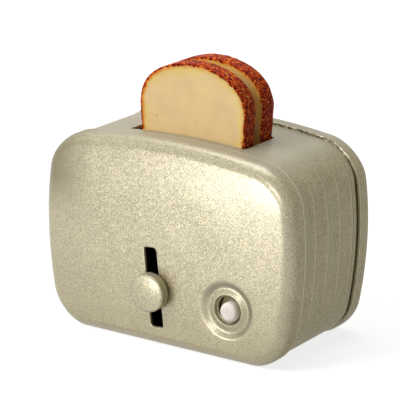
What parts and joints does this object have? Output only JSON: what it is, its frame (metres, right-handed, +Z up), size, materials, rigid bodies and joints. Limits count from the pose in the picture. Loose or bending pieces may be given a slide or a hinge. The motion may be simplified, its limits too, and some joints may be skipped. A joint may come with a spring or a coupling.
{
  "type": "toy toaster",
  "caption": "Pretend toaster for a dolls' house, pressed from painted sheet metal, with domed bread slices on a lever carriage and a push button in a stamped dial.",
  "frame": {"origin": "on the surface the toaster stands on, under the middle of its overall size with the knob counted in", "axes": "+X to the right as seen from the front, -Y out of the front face, +Z up"},
  "size_m": [0.06, 0.0346, 0.0573],
  "materials": {
    "champagne_paint": "champagne silver paint with fine metal flake",
    "bare_tinplate": "bare tinplate",
    "blacked_steel": "blacked steel",
    "plated_steel": "nickel plated steel",
    "off_white_plastic": "satin off-white plastic",
    "bread": "moulded and painted, tan faces in a dark red-brown crust"
  },
  "bodies": {
    "casing": {"front_pan": "champagne_paint", "rear_pan": "champagne_paint", "centre_band": "champagne_paint", "base_plate": "bare_tinplate", "chassis": "bare_tinplate", "guide_post_left": "plated_steel", "guide_post_right": "plated_steel", "button_bracket": "bare_tinplate", "button_spring": "plated_steel", "band_screw_1": "plated_steel", "band_screw_2": "plated_steel", "band_screw_3": "plated_steel", "band_screw_4": "plated_steel", "chassis_screw_1": "plated_steel", "chassis_screw_2": "plated_steel", "bracket_screw": "plated_steel"},
    "carriage": {"slider": "blacked_steel", "bread_rack": "bare_tinplate", "rack_rivet_left": "plated_steel", "rack_rivet_right": "plated_steel", "friction_clip": "plated_steel", "clip_rivet": "plated_steel", "lever_stem": "plated_steel", "lever_knob": "champagne_paint"},
    "button": {"push_button": "off_white_plastic", "button_clip": "plated_steel"},
    "slice_front": {"bread_slice_front": "bread"},
    "slice_rear": {"bread_slice_rear": "bread"}
  },
  "joints": [
    {"name": "lever_slide", "type": "slide", "parent": "casing", "child": "carriage", "axis": [0, 0, 1], "range_m": [-0.0065, 0.0077]},
    {"name": "button_press", "type": "slide", "parent": "casing", "child": "button", "axis": [0, 1, 0], "range_m": [0, 0.0012], "stiffness_N_per_m": 180, "springref_m": -0.0015, "deforming": ["button_spring"]},
    {"name": "slice_front_lift", "type": "slide", "parent": "carriage", "child": "slice_front", "axis": [0, 0, 1], "range_m": [0, 0.03]},
    {"name": "slice_rear_lift", "type": "slide", "parent": "carriage", "child": "slice_rear", "axis": [0, 0, 1], "range_m": [0, 0.03]}
  ]
}
